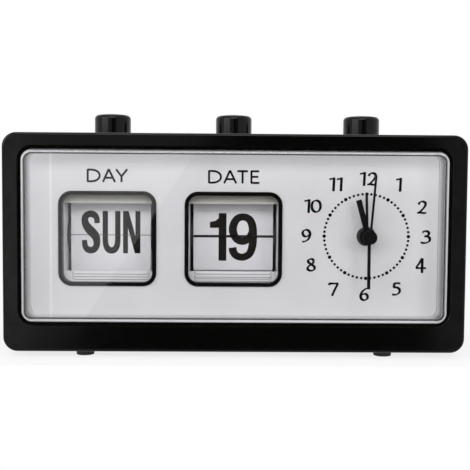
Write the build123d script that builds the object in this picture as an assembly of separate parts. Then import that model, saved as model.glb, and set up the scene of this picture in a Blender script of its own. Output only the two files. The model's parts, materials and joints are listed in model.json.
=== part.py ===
from build123d import *
import os
from math import cos, pi, radians, sin, sqrt, tan

# Flip calendar clock, in millimetres, +Z up, front towards -Y.
# The origin is on the standing surface, under the middle of the whole clock.
# Depth means the distance behind the front plane of the bezel.

# Case shells
case_width = 178.0
case_height = 84.0
case_depth = 66.0
case_corner = 5.5
edge_round = 0.9
seam_chamfer = 0.4
bezel_depth = 17.5
bezel_face = 3.0
bezel_wall = 2.4
bezel_reveal = 1.2
shell_wall = 3.4
shell_fit = 0.05
cover_thick = 2.4
cover_lip = 2.0
cover_lip_wall = 1.5
cut_over = 1.0

# Rubber feet
foot_height = 2.2
foot_radius = 3.75
foot_taper = 0.35
foot_spread = 117.0
front_foot_depth = 7.5
rear_foot_depth = 57.0

# Clear lens, a tray that sits in the bezel
side_border = 7.0
top_border = 6.2
bottom_border = 11.3
lens_corner = 4.4
lens_proud = 0.5
lens_plate = 1.6
lens_wall = 1.2
lens_back = 12.5
lens_edge_round = 1.3
lens_flange = 3.2
lens_flange_thick = 1.6
lens_fit = 0.15

# Dial plate and the screws in its bosses
dial_thick = 1.6
dial_fit = 0.3
boss_radius = 2.2
boss_length = 1.4
screw_radius = 0.8
screw_head_radius = 1.5
screw_head_thick = 0.7
screw_fit = 0.02
screw_tip_gap = 0.3

# Window frames
window_width = 38.8
window_height = 37.7
window_drop = 1.62
window_band = 1.6
window_corner = 5.3
window_lip = 0.8
sleeve_wall = 0.7
sleeve_length = 1.0
sleeve_fit = 0.05

# Flip counters
day_place_share = -0.2836
date_place_share = -0.003
day_leaf_count = 14
date_leaf_count = 31
day_split = 0.26
date_split = 0.5
axis_depth = 29.0
axis_drop = 0.75
pivot_radius = 6.0
leaf_width = 32.5
leaf_length = 13.5
leaf_thick = 0.12
leaf_corner = 1.0
tab_width = 0.6
tab_length = 1.0
tab_fit = 0.1
flange_gap = 0.1
flange_thick = 1.2
flange_rim = 1.2
drum_core_radius = 3.0
axle_radius = 1.2
axle_end = 0.6
press_fit = 0.01
running_fit = 0.05

# Counter carriers
cheek_gap = 0.1
cheek_thick = 1.5
cheek_reach = 8.5
cheek_drop = 21.1
cheek_cut = 6.0
roof_thick = 1.5
visor_edge_rise = 13.1
visor_rise = 0.7
visor_thick = 1.2
sill_top_drop = 14.0
sill_height = 11.0
sill_thick = 1.2
carrier_screw_spread = 24.0
carrier_screw_rise = 22.6
carrier_screw_drop = 22.4

# Ratchets, pawls and detents
ratchet_tip_radius = 9.0
ratchet_tooth = 1.4
ratchet_thick = 1.0
ratchet_gap = 0.3
steep_angle = 1.0
pawl_clear = 0.25
pawl_bar = 1.8
pawl_width = 1.4
pawl_bite = 0.5
pawl_height = 1.2
pawl_start_gap = 0.3
pawl_end_gap = 0.1
pawl_foot = 3.0
detent_thick = 0.3
detent_width = 0.8
detent_clear = 0.2
detent_pad = 2.6
detent_nose_angle = 204.0
detent_bow = 1.1
detent_anchor_back = 6.8
detent_anchor_drop = 13.6

# Push buttons
button_radius = 7.4
button_rise = 9.3
button_dome = 0.6
button_round = 1.6
button_fit = 0.2
button_flange = 1.4
button_flange_thick = 1.2
button_stop_gap = 0.2
alarm_travel = 3.0
alarm_stem_radius = 1.2
alarm_stem_offset = 5.5
alarm_stem_length = 17.4
spring_height = 7.4
spring_arm = 4.5
spring_strip = 0.35
spring_width = 5.0
spring_clear = 0.1

# Clock face and movement
clock_place_share = 0.2938
clock_drop = 0.1
bush_radius = 3.8
bush_fit = 0.1
plate_width = 46.0
plate_ear = 6.0
plate_corner = 3.0
plate_thick = 1.5
plate_screw_spread = 36.0
movement_length = 16.5
movement_wall = 1.5
movement_corner = 2.0

# Hands, arbors and gears
hand_thick = 0.4
hub_radius = 3.2
slim_hub_radius = 2.7
hand_step = 2.4
second_hand_depth = 2.8
tube_lead = 0.4
tube_fit = 0.05
second_arbor_radius = 0.4
minute_tube_radius = 0.95
hour_tube_radius = 1.6
alarm_tube_radius = 2.3
second_hand_length = 24.0
second_hand_width = 0.85
minute_hand_length = 20.3
minute_hand_width = 1.25
hour_hand_length = 15.0
hour_hand_width = 2.2
alarm_hand_length = 16.8
alarm_hand_width = 1.0
second_hand_angle = 4.6
minute_hand_angle = 180.0
hour_hand_angle = -15.4
alarm_hand_angle = -1.7
coarse_module = 0.6
fine_module = 0.48
pinion_teeth = 10
minute_teeth = 30
hour_teeth = 40
addendum_share = 0.75
dedendum_share = 1.15
tip_share = 0.2
pitch_line_share = 0.38
root_share = 0.5
wheel_thick = 1.0
pinion_thick = 1.6
wheel_gap = 0.5
cannon_thick = 2.0
time_set_angle = 230.0
alarm_set_angle = -50.0
stem_radius = 1.0
knob_radius = 6.0
knob_proud = 5.5
knob_gap = 0.2
knob_flutes = 16
flute_radius = 0.55
stem_hole_fit = 0.3

# Movement electrics and the buzzer
board_side_gap = 1.5
board_height = 16.0
board_thick = 1.2
board_standoff = 1.0
board_rise = 16.0
post_radius = 1.6
post_inset = 5.0
chip_size = 6.0
chip_thick = 1.0
coil_radius = 2.9
coil_length = 18.0
coil_cheek_radius = 3.6
coil_cheek_thick = 1.2
coil_drop = 22.1
blade_thick = 0.3
blade_width = 4.0
blade_length = 8.5
blade_clear = 0.4
buzzer_radius = 10.0
buzzer_thick = 3.0
buzzer_rise = 16.0
buzzer_port_radius = 1.5
slot_count = 5
slot_width = 1.6
slot_length = 15.0
slot_pitch = 3.4

# Rear cover screws
cover_screw_inset = 2.9
cover_boss_radius = 3.2
cover_boss_length = 18.0
cover_screw_radius = 1.2
cover_screw_length = 12.0
cover_head_radius = 2.4
cover_head_thick = 1.2
cover_head_fit = 0.2
cover_hole_fit = 0.1
drive_slot_width = 0.7
drive_slot_depth = 0.6

# Battery compartment
battery_place_share = -0.1685
battery_drop = 18.7
bay_length = 55.0
bay_height = 16.0
bay_depth = 15.1
bay_wall = 1.5
bay_corner = 1.5
door_thick = 1.6
door_margin = 0.8
door_fit = 0.2
door_barrel_radius = 1.0
door_pin_radius = 0.6
door_pin_length = 1.2
door_barrel_gap = 0.3
door_notch_radius = 5.0
contact_thick = 0.4
contact_size = 10.0
contact_bow = 3.0
contact_dimple_radius = 2.6
contact_dimple = 0.8
tag_width = 3.0
tag_reach = 3.0
tag_fit = 0.1
lead_radius = 0.6
lead_sides = 6
lead_run_share = 0.45

# Places worked out from the sizes above
front_y = lens_proud - (lens_proud + case_depth + knob_proud) / 2
case_mid_z = foot_height + case_height / 2
case_top_z = foot_height + case_height
lens_width = case_width - 2 * side_border
lens_height = case_height - top_border - bottom_border
lens_mid_z = foot_height + bottom_border + lens_height / 2
day_x = day_place_share * case_width
date_x = date_place_share * case_width
clock_x = clock_place_share * case_width
battery_x = battery_place_share * case_width
window_z = lens_mid_z - window_drop
axis_z = lens_mid_z - axis_drop
clock_z = lens_mid_z - clock_drop
battery_z = case_mid_z - battery_drop
board_z = clock_z + board_rise
coil_z = clock_z - coil_drop
buzzer_z = clock_z + buzzer_rise
visor_edge_z = axis_z + visor_edge_rise
cover_depth = case_depth - cover_thick
dial_back = lens_back + dial_thick
seat_depth = dial_back + boss_length
pocket_width = case_width - 2 * bezel_wall
pocket_height = case_height - 2 * bezel_wall
pocket_corner = case_corner - bezel_wall
inner_width = case_width - 2 * shell_wall
inner_height = case_height - 2 * shell_wall
inner_corner = case_corner - shell_wall
inner_top_z = case_top_z - shell_wall
flange_in = leaf_width / 2 + flange_gap
flange_out = flange_in + flange_thick
cheek_in = flange_out + cheek_gap
cheek_out = cheek_in + cheek_thick
ratchet_x = cheek_out + ratchet_gap
flange_top_z = inner_top_z - button_stop_gap
flange_low_z = flange_top_z - button_flange_thick
spring_seat_z = flange_low_z - spring_height
movement_height = 2 * (spring_seat_z - clock_z)
plate_height = movement_height + 2 * plate_ear
hands = {
    "second": second_hand_depth,
    "minute": second_hand_depth + hand_step,
    "hour": second_hand_depth + 2 * hand_step,
    "alarm": second_hand_depth + 3 * hand_step,
}
hubs = {"second": slim_hub_radius, "minute": slim_hub_radius, "hour": hub_radius, "alarm": hub_radius}
gear_centres = coarse_module * (pinion_teeth + minute_teeth) / 2
alarm_wheel_depth = seat_depth + plate_thick + wheel_gap
hour_wheel_depth = alarm_wheel_depth + 2 * wheel_thick
minute_wheel_depth = hour_wheel_depth + pinion_thick + 2 * wheel_gap
clock_place = (clock_x, clock_z)
movement_depth = seat_depth + plate_thick
movement_back = movement_depth + movement_length
movement_inner_back = movement_back - movement_wall
board_depth = movement_inner_back - board_standoff - board_thick
board_width = plate_width - 2 * (movement_wall + board_side_gap)
time_set_place = (
    clock_x + gear_centres * cos(radians(time_set_angle)),
    clock_z + gear_centres * sin(radians(time_set_angle)),
)
alarm_set_place = (
    clock_x + gear_centres * cos(radians(alarm_set_angle)),
    clock_z + gear_centres * sin(radians(alarm_set_angle)),
)
door_opening_length = bay_length + 2 * door_margin
door_opening_height = bay_height + 2 * door_margin
door_axis_depth = case_depth - door_barrel_radius
door_axis_z = battery_z - door_opening_height / 2 + door_barrel_gap + door_barrel_radius
light_width = window_width - 2 * window_band
light_height = window_height - 2 * window_band
sleeve_width = light_width + 2 * sleeve_wall
sleeve_height = light_height + 2 * sleeve_wall
sleeve_corner = window_corner - window_band + sleeve_wall
tag_depth = cover_depth - bay_depth / 2
tag_end = bay_length / 2 + bay_wall + tag_reach
lead_depth = tag_depth + contact_thick / 2
# wire points as (x, share of the way from the movement back to the tags, z)
positive_route_shares = [(14.0, 1, 25.5), (31.0, 0.65, 29.0), (31.0, 0, 29.0)]
negative_route_shares = [
    (-68.0, 1, 25.5),
    (-70.0, 0.95, 16.0),
    (-40.0, 0.91, 12.0),
    (-4.0, 0.95, 12.5),
    (24.0, 0.76, 18.0),
    (34.0, 0.46, 24.0),
    (34.0, 0, 24.0),
]
counters = {
    "day": (day_x, day_leaf_count, day_split),
    "date": (date_x, date_leaf_count, date_split),
}
plate_screws = [
    (clock_x + side * plate_screw_spread / 2, clock_z + end * (plate_height - plate_ear) / 2)
    for side in (-1, 1)
    for end in (-1, 1)
]
carrier_screws = [
    (x + side * carrier_screw_spread / 2, axis_z + offset)
    for x, count, split in counters.values()
    for side in (-1, 1)
    for offset in (carrier_screw_rise, -carrier_screw_drop)
]
cover_screw_places = [
    (side * (inner_width / 2 - cover_screw_inset), case_mid_z + end * (inner_height / 2 - cover_screw_inset))
    for side in (-1, 1)
    for end in (-1, 1)
]


def front_slab(sketch, depth, thickness):
    # an (x, z) sketch, thickened towards the back from its depth
    plane = Plane(origin=(0, front_y + depth, 0), x_dir=(1, 0, 0), z_dir=(0, -1, 0))
    return extrude(plane * sketch, thickness, dir=(0, 1, 0))


def side_slab(sketch, x, width):
    # a (y, z) sketch, thickened along +X
    plane = Plane(origin=(x, 0, 0), x_dir=(0, 1, 0), z_dir=(1, 0, 0))
    return extrude(plane * sketch, width, dir=(1, 0, 0))


def side_polygon(points):
    # corners given as (depth, z)
    return Polygon(*[(front_y + depth, z) for depth, z in points], align=None)


def disc(x, z, radius, depth, thickness):
    return front_slab(Pos(x, z) * Circle(radius), depth, thickness)


def ring(x, z, outer, inner, depth, thickness):
    return front_slab(Pos(x, z) * (Circle(outer) - Circle(inner)), depth, thickness)


def block(x, z, width, height, depth, thickness):
    return front_slab(Pos(x, z) * Rectangle(width, height), depth, thickness)


def front_face(shape):
    return shape.faces().sort_by(Axis.Y)[0]


def rear_face(shape):
    return shape.faces().sort_by(Axis.Y)[-1]


def rounded(width, height, corner, mid_z=case_mid_z, mid_x=0):
    return Pos(mid_x, mid_z) * RectangleRounded(width, height, corner)


def solids(shapes):
    return Compound([solid for shape in shapes for solid in shape.solids()])


def save(node, shape):
    export_step(shape, f"parts/{node}.step")


# Case shells


def front_bezel():
    shell = front_slab(rounded(case_width, case_height, case_corner), 0, bezel_depth)
    shell = fillet(front_face(shell).edges(), edge_round)
    shell = chamfer(rear_face(shell).edges(), seam_chamfer)
    opening = rounded(
        lens_width + 2 * lens_fit, lens_height + 2 * lens_fit, lens_corner + lens_fit, lens_mid_z
    )
    shell -= front_slab(opening, -cut_over, bezel_face + 2 * cut_over)
    shell -= front_slab(rounded(pocket_width, pocket_height, pocket_corner), bezel_face, bezel_depth)
    return chamfer(front_face(shell).inner_wires()[0].edges(), bezel_reveal)


def case_shell():
    shell = front_slab(rounded(case_width, case_height, case_corner), bezel_depth, cover_depth - bezel_depth)
    shell = chamfer(front_face(shell).edges() + rear_face(shell).edges(), seam_chamfer)
    tongue = rounded(pocket_width - 2 * shell_fit, pocket_height - 2 * shell_fit, pocket_corner - shell_fit)
    shell += front_slab(tongue, dial_back, bezel_depth - dial_back)
    hollow = rounded(inner_width, inner_height, inner_corner)
    shell -= front_slab(hollow, dial_back - cut_over, cover_depth - dial_back + 2 * cut_over)
    boss_depth = cover_depth - cover_boss_length
    for x, z in cover_screw_places:
        shell += disc(x, z, cover_boss_radius, boss_depth, cover_boss_length)
    for x, z in cover_screw_places:
        shell -= disc(x, z, cover_screw_radius + screw_fit, boss_depth - cut_over, case_depth)
    for x in (day_x, date_x, clock_x):
        hole = Pos(x, front_y + axis_depth) * Circle(button_radius + button_fit)
        shell -= extrude(Plane.XY.offset(inner_top_z - cut_over) * hole, shell_wall + 2 * cut_over)
    return shell


def rear_cover():
    cover = front_slab(rounded(case_width, case_height, case_corner), cover_depth, cover_thick)
    cover = fillet(rear_face(cover).edges(), edge_round)
    cover = chamfer(front_face(cover).edges(), seam_chamfer)
    lip = rounded(inner_width - 2 * shell_fit, inner_height - 2 * shell_fit, inner_corner - shell_fit)
    lip_margin = 2 * (shell_fit + cover_lip_wall)
    lip -= Pos(0, case_mid_z) * Rectangle(inner_width - lip_margin, inner_height - lip_margin)
    for x, z in cover_screw_places:
        lip -= Pos(x, z) * Circle(cover_boss_radius + shell_fit)
    cover += front_slab(lip, cover_depth - cover_lip, cover_lip)
    for x, z in cover_screw_places:
        cover -= disc(x, z, cover_screw_radius + cover_hole_fit, cover_depth - cut_over, case_depth)
        head = cover_head_radius + cover_head_fit
        cover -= disc(x, z, head, case_depth - cover_head_thick, case_depth)
    for x, z in (time_set_place, alarm_set_place):
        cover -= disc(x, z, stem_radius + stem_hole_fit, cover_depth - cut_over, case_depth)
    for k in range(slot_count):
        x = clock_x + (k - (slot_count - 1) / 2) * slot_pitch
        slot = Pos(x, buzzer_z) * Rot(0, 0, 90) * SlotOverall(slot_length, slot_width)
        cover -= front_slab(slot, cover_depth - cut_over, case_depth)
    doorway = Pos(battery_x, battery_z) * Rectangle(door_opening_length, door_opening_height)
    cover -= front_slab(doorway, cover_depth - cut_over, case_depth)
    notch = Pos(battery_x, battery_z + door_opening_height / 2) * Circle(door_notch_radius)
    cover -= front_slab(notch, case_depth - door_thick, case_depth)
    pin = Pos(front_y + door_axis_depth, door_axis_z) * Circle(door_pin_radius + running_fit)
    pin_span = door_opening_length + 2 * (door_pin_length + running_fit)
    return cover - side_slab(pin, battery_x - pin_span / 2, pin_span)


def rubber_feet():
    feet = []
    for x in (-foot_spread / 2, foot_spread / 2):
        for depth in (front_foot_depth, rear_foot_depth):
            foot = Cone(foot_radius - foot_taper, foot_radius, foot_height)
            feet.append(Pos(x, front_y + depth, foot_height / 2) * foot)
    return solids(feet)


def slotted_screw(x, z, radius, length, head_radius, head_thick, head_depth, slot_width, slot_depth):
    # the head's rear face carries the driver slot and the shank runs forward
    screw = disc(x, z, head_radius, head_depth, head_thick)
    screw += disc(x, z, radius, head_depth - length, length)
    slot = block(x, z, 2 * head_radius, slot_width, head_depth + head_thick - slot_depth, head_thick)
    return screw - slot


def cover_screws():
    return solids(
        slotted_screw(
            x, z, cover_screw_radius, cover_screw_length, cover_head_radius, cover_head_thick,
            case_depth - cover_head_thick, drive_slot_width, drive_slot_depth,
        )
        for x, z in cover_screw_places
    )


def dial_screws():
    screws = []
    for places, thick in ((carrier_screws, visor_thick), (plate_screws, plate_thick)):
        length = thick + boss_length - screw_tip_gap
        for x, z in places:
            screws.append(
                slotted_screw(
                    x, z, screw_radius, length, screw_head_radius, screw_head_thick,
                    seat_depth + thick, drive_slot_width, screw_head_thick / 2,
                )
            )
    return solids(screws)


# Front of the clock


def lens():
    outline = rounded(lens_width, lens_height, lens_corner, lens_mid_z)
    tray = front_slab(outline, -lens_proud, lens_back + lens_proud)
    tray = fillet(front_face(tray).edges(), lens_edge_round)
    tray += front_slab(
        rounded(lens_width + 2 * lens_flange, lens_height + 2 * lens_flange, lens_corner, lens_mid_z),
        bezel_face,
        lens_flange_thick,
    )
    hollow = rounded(
        lens_width - 2 * lens_wall, lens_height - 2 * lens_wall, lens_corner - lens_wall, lens_mid_z
    )
    return tray - front_slab(hollow, lens_plate - lens_proud, lens_back + lens_proud)


def dial_plate():
    face = rounded(pocket_width - 2 * dial_fit, pocket_height - 2 * dial_fit, pocket_corner - dial_fit)
    for x, count, split in counters.values():
        room = 2 * sleeve_fit
        face -= rounded(sleeve_width + room, sleeve_height + room, sleeve_corner, window_z, x)
    face -= Pos(clock_x, clock_z) * Circle(bush_radius + bush_fit)
    plate = front_slab(face, lens_back, dial_thick)
    for x, z in carrier_screws + plate_screws:
        plate += ring(x, z, boss_radius, screw_radius + screw_fit, dial_back, boss_length)
    return plate


def window_frame(x):
    lip = rounded(window_width, window_height, window_corner, window_z, x)
    sleeve = rounded(sleeve_width, sleeve_height, sleeve_corner, window_z, x)
    light = rounded(light_width, light_height, window_corner - window_band, window_z, x)
    lip_slab = front_slab(lip, lens_back - window_lip, window_lip)
    lip_slab = fillet(front_face(lip_slab).edges(), window_lip / 2)
    frame = lip_slab + front_slab(sleeve, lens_back, dial_thick + sleeve_length)
    return frame - front_slab(light, lens_back - window_lip - cut_over, case_depth)


# Flip counters


def pivot_point(angle):
    # angle runs from the front towards the top, about the drum axis
    turn = radians(angle)
    return (front_y + axis_depth - pivot_radius * cos(turn), axis_z + pivot_radius * sin(turn))


def leaf_blank(step, split):
    tail = pivot_radius * sin(radians(step / 2)) - split / 2
    outline = Pos(0, (leaf_length - tail) / 2) * Rectangle(leaf_width, leaf_length + tail)
    outline = fillet(outline.vertices().group_by(Axis.Y)[-1], leaf_corner)
    outline += Rectangle(leaf_width + 2 * tab_length, tab_width)
    return extrude(Plane.XZ * outline, leaf_thick / 2, both=True)


def placed_leaf(blank, x, angle, lean):
    y, z = pivot_point(angle)
    return Pos(x, y, z) * Rot(90 - lean, 0, 0) * blank


def hanging_leaves(x, count, split):
    # the fan of leaves behind the upper leaf, from standing to hanging
    step = 360 / count
    blank = leaf_blank(step, split)
    leaves = []
    for k in range(count - 1):
        angle = step / 2 + step * (k + 1)
        leaves.append(placed_leaf(blank, x, angle, 90 + step + (angle - 3 * step / 2) / 2))
    return solids(leaves)


def flip_leaf(x, count, split):
    step = 360 / count
    return placed_leaf(leaf_blank(step, split), x, step / 2, 90)


def drum(x, count):
    step = 360 / count
    hole = tab_width + 2 * tab_fit
    flange = Circle(pivot_radius + flange_rim)
    holes = []
    for k in range(count):
        angle = step / 2 + step * k
        spot = Pos(-pivot_radius * cos(radians(angle)), pivot_radius * sin(radians(angle)))
        holes.append(spot * Rot(0, 0, -angle) * Rectangle(hole, hole))
    flange = flange - holes - Circle(axle_radius + press_fit)
    core = Circle(drum_core_radius) - Circle(axle_radius + press_fit)
    centre = Pos(front_y + axis_depth, axis_z)
    body = side_slab(centre * core, x - flange_in, 2 * flange_in)
    for start in (x - flange_out, x + flange_in):
        body += side_slab(centre * flange, start, flange_thick)
    return body


def axle(x):
    left = x - cheek_out - axle_end
    right = x + ratchet_x + ratchet_thick + axle_end
    return side_slab(Pos(front_y + axis_depth, axis_z) * Circle(axle_radius), left, right - left)


def ratchet(x, count):
    # saw teeth with the steep side up at the front, where the pawl pushes down
    step = 360 / count
    root_radius = ratchet_tip_radius - ratchet_tooth
    points = []
    for k in range(count):
        start = step / 2 + step * k
        for radius, angle in ((ratchet_tip_radius, start), (root_radius, start + steep_angle)):
            points.append((-radius * cos(radians(angle)), radius * sin(radians(angle))))
    wheel = Polygon(*points, align=None) - Circle(axle_radius + press_fit)
    return side_slab(Pos(front_y + axis_depth, axis_z) * wheel, x + ratchet_x, ratchet_thick)


def detent(x):
    # a blade screwed flat to the cheek, its nose just off the tooth tips
    nose = radians(detent_nose_angle)
    reach = ratchet_tip_radius + detent_clear + detent_thick
    nose_depth = axis_depth - reach * cos(nose)
    nose_z = axis_z + reach * sin(nose)
    anchor = (front_y + axis_depth + detent_anchor_back, axis_z - detent_anchor_drop)
    elbow = (front_y + nose_depth + detent_bow, nose_z - detent_bow / 2)
    blade = trace(Polyline(anchor, elbow, (front_y + nose_depth, nose_z)), detent_thick)
    pad = Pos(*anchor) * Rectangle(detent_pad, detent_pad)
    strip = side_slab(blade, x + ratchet_x, detent_width)
    return strip + side_slab(pad, x + cheek_out, ratchet_gap + detent_width)


def carrier(x):
    low = axis_z - cheek_drop
    rear = axis_depth + cheek_reach
    cheek = side_polygon(
        [
            (seat_depth, low),
            (seat_depth, spring_seat_z),
            (rear, spring_seat_z),
            (rear, low + cheek_cut),
            (rear - cheek_cut, low),
        ]
    )
    cheek -= Pos(front_y + axis_depth, axis_z) * Circle(axle_radius + running_fit)
    frame = side_slab(cheek, x - cheek_out, cheek_thick) + side_slab(cheek, x + cheek_in, cheek_thick)
    visor = side_polygon(
        [
            (seat_depth, visor_edge_z),
            (seat_depth + visor_thick, visor_edge_z + visor_rise),
            (seat_depth + visor_thick, spring_seat_z),
            (seat_depth, spring_seat_z),
        ]
    )
    frame += side_slab(visor, x - cheek_in, 2 * cheek_in)
    roof_mid_z = spring_seat_z - roof_thick / 2
    frame += block(x, roof_mid_z, 2 * cheek_in, roof_thick, seat_depth, rear - seat_depth)
    sill_z = axis_z - sill_top_drop - sill_height / 2
    frame += block(x, sill_z, 2 * cheek_out, sill_height, seat_depth, sill_thick)
    for screw_x, screw_z in carrier_screws:
        if abs(screw_x - x) < cheek_in:
            frame -= disc(screw_x, screw_z, screw_radius + running_fit, seat_depth - cut_over, axis_depth)
    return frame


# Push buttons


def pawl_travel(count):
    return 2 * ratchet_tip_radius * sin(pi / count) + pawl_start_gap - pawl_end_gap


def button_cap(x):
    rim_z = case_top_z + button_rise - button_dome
    ball = (button_radius**2 + button_dome**2) / (2 * button_dome)
    half_z = rim_z + button_dome - ball + sqrt(ball**2 - button_radius**2 / 4)
    rim = (button_radius, rim_z)
    crown = (0, case_top_z + button_rise)
    outline = Polyline(crown, (0, flange_top_z), (button_radius, flange_top_z), rim)
    dome = ThreePointArc(rim, (button_radius / 2, half_z), crown)
    profile = make_face(outline + dome)
    corner = profile.vertices().sort_by_distance((*rim, 0))[0]
    profile = fillet(corner, button_round)
    cap = revolve(Plane.XZ * profile, Axis.Z)
    flange = Plane.XY.offset(flange_low_z) * Circle(button_radius + button_flange)
    cap += extrude(flange, button_flange_thick)
    return Pos(x, front_y + axis_depth, 0) * cap


def counter_button(x, count):
    # the cap, a bridge under the case top and a pawl bar down beside the ratchet
    bar_back = axis_depth - ratchet_tip_radius - pawl_clear
    bar_front = bar_back - pawl_bar
    hook_z = axis_z + ratchet_tip_radius * sin(pi / count) + pawl_start_gap
    bridge_depth = axis_depth + button_radius / 2 - bar_front
    bridge_length = ratchet_x + pawl_width
    bridge_z = flange_low_z + button_flange_thick / 2
    button = button_cap(x)
    bridge_x = x + bridge_length / 2
    button += block(bridge_x, bridge_z, bridge_length, button_flange_thick, bar_front, bridge_depth)
    bar = side_polygon(
        [
            (bar_front, flange_top_z),
            (bar_back, flange_top_z),
            (bar_back, hook_z + pawl_height),
            (axis_depth - ratchet_tip_radius + pawl_bite, hook_z),
            (bar_back, hook_z),
            (bar_front, hook_z + pawl_foot),
        ]
    )
    return button + side_slab(bar, x + ratchet_x, pawl_width)


def alarm_button():
    stem_depth = axis_depth - alarm_stem_offset
    stem = Pos(clock_x, front_y + stem_depth) * Circle(alarm_stem_radius)
    return button_cap(clock_x) + extrude(Plane.XY.offset(flange_low_z) * stem, -alarm_stem_length)


def button_spring(x):
    # a V leaf between its seat and the button's flange
    low = spring_seat_z + spring_strip / 2
    high = flange_low_z - spring_clear - spring_strip / 2
    path = Polyline((x - spring_arm, low), (x + spring_arm, (low + high) / 2), (x - spring_arm, high))
    strip = trace(path, spring_strip)
    return front_slab(strip, axis_depth - spring_width / 2, spring_width)


# Clock movement


def gear(module, teeth, turn):
    pitch = pi * module
    radius = module * teeth / 2
    root = radius - dedendum_share * module
    tip = radius + addendum_share * module
    points = []
    for k in range(teeth):
        middle = radians(turn) + 2 * pi * k / teeth
        for level, share in ((root, -root_share), (radius, -pitch_line_share), (tip, -tip_share),
                             (tip, tip_share), (radius, pitch_line_share), (root, root_share)):
            angle = middle + share * pitch / 2 / radius
            points.append((level * cos(angle), level * sin(angle)))
    return Polygon(*points, align=None)


def gear_slab(place, module, teeth, turn, bore, depth, thick):
    return front_slab(Pos(*place) * (gear(module, teeth, turn) - Circle(bore)), depth, thick)


def hand(name, length, width, angle, bore):
    blade = Pos(0, length / 2) * Rectangle(width, length)
    outline = Circle(hubs[name]) + blade - Circle(bore)
    return front_slab(Pos(*clock_place) * Rot(0, 0, -angle) * outline, hands[name], hand_thick)


def second_hand():
    start = hands["second"] - tube_lead
    blade = hand("second", second_hand_length, second_hand_width, second_hand_angle, second_arbor_radius / 2)
    end = movement_inner_back + movement_wall / 2
    return blade + disc(*clock_place, second_arbor_radius, start, end - start)


def cannon_pinion():
    start = hands["minute"] - tube_lead
    length = minute_wheel_depth + cannon_thick - start
    tube = ring(*clock_place, minute_tube_radius, second_arbor_radius + tube_fit, start, length)
    teeth = gear_slab(
        clock_place, coarse_module, pinion_teeth, time_set_angle, second_arbor_radius + tube_fit,
        minute_wheel_depth, cannon_thick,
    )
    return tube + teeth


def hour_wheel():
    start = hands["hour"] - tube_lead
    bore = minute_tube_radius + tube_fit
    tube = ring(*clock_place, hour_tube_radius, bore, start, hour_wheel_depth + wheel_thick - start)
    turn = time_set_angle
    return tube + gear_slab(clock_place, fine_module, hour_teeth, turn, bore, hour_wheel_depth, wheel_thick)


def alarm_wheel():
    start = hands["alarm"] - tube_lead
    bore = hour_tube_radius + tube_fit
    tube = ring(*clock_place, alarm_tube_radius, bore, start, alarm_wheel_depth + wheel_thick - start)
    turn = alarm_set_angle
    return tube + gear_slab(clock_place, fine_module, hour_teeth, turn, bore, alarm_wheel_depth, wheel_thick)


def minute_wheel():
    bore = stem_radius + press_fit
    pinion_turn = time_set_angle + 180 + 180 / pinion_teeth
    wheel_turn = time_set_angle + 180 + 180 / minute_teeth
    pinion_depth = hour_wheel_depth - (pinion_thick - wheel_thick) / 2
    pinion_length = minute_wheel_depth + wheel_gap - pinion_depth
    rim_depth = minute_wheel_depth + wheel_gap
    pinion = gear_slab(
        time_set_place, fine_module, pinion_teeth, pinion_turn, bore, pinion_depth, pinion_length
    )
    return pinion + gear_slab(
        time_set_place, coarse_module, minute_teeth, wheel_turn, bore, rim_depth, wheel_thick
    )


def alarm_set_pinion():
    turn = alarm_set_angle + 180 + 180 / pinion_teeth
    depth = alarm_wheel_depth - (pinion_thick - wheel_thick) / 2
    bore = stem_radius + press_fit
    return gear_slab(alarm_set_place, fine_module, pinion_teeth, turn, bore, depth, pinion_thick)


def set_knob(place):
    outline = Circle(knob_radius)
    flutes = [loc * Circle(flute_radius) for loc in PolarLocations(knob_radius, knob_flutes)]
    knob = front_slab(Pos(*place) * (outline - flutes), case_depth + knob_gap, knob_proud - knob_gap)
    stem_start = seat_depth + plate_thick / 2
    return knob + disc(*place, stem_radius, stem_start, case_depth + knob_gap - stem_start)


def movement_plate():
    bush_bore = alarm_tube_radius + tube_fit
    face = Pos(*clock_place) * (RectangleRounded(plate_width, plate_height, plate_corner) - Circle(bush_bore))
    for place in plate_screws:
        face -= Pos(*place) * Circle(screw_radius + running_fit)
    for place in (time_set_place, alarm_set_place):
        face -= Pos(*place) * Circle(stem_radius + running_fit)
    plate = front_slab(face, seat_depth, plate_thick)
    return plate + ring(*clock_place, bush_radius, bush_bore, lens_back, seat_depth - lens_back)


def movement_case():
    box = front_slab(
        Pos(*clock_place) * RectangleRounded(plate_width, movement_height, movement_corner),
        movement_depth,
        movement_length,
    )
    inner = Rectangle(plate_width - 2 * movement_wall, movement_height - 2 * movement_wall)
    start = movement_depth - cut_over
    box -= front_slab(Pos(*clock_place) * inner, start, movement_inner_back - start)
    for side in (-1, 1):
        post_x = clock_x + side * (board_width / 2 - post_inset)
        box += disc(post_x, board_z, post_radius, board_depth + board_thick, board_standoff)
    hole_start = movement_inner_back - cut_over
    box -= disc(*clock_place, second_arbor_radius + tube_fit, hole_start, case_depth)
    for place in (time_set_place, alarm_set_place):
        box -= disc(*place, stem_radius + running_fit, hole_start, case_depth)
    stem = Pos(clock_x, front_y + axis_depth - alarm_stem_offset) * Circle(alarm_stem_radius + running_fit)
    roof_z = clock_z + movement_height / 2 - movement_wall
    return box - extrude(Plane.XY.offset(roof_z - cut_over) * stem, movement_wall + 2 * cut_over)


def circuit_board():
    board = block(clock_x, board_z, board_width, board_height, board_depth, board_thick)
    chip_x = clock_x - board_width / 4
    return board + block(chip_x, board_z, chip_size, chip_size, board_depth - chip_thick, chip_thick)


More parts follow.
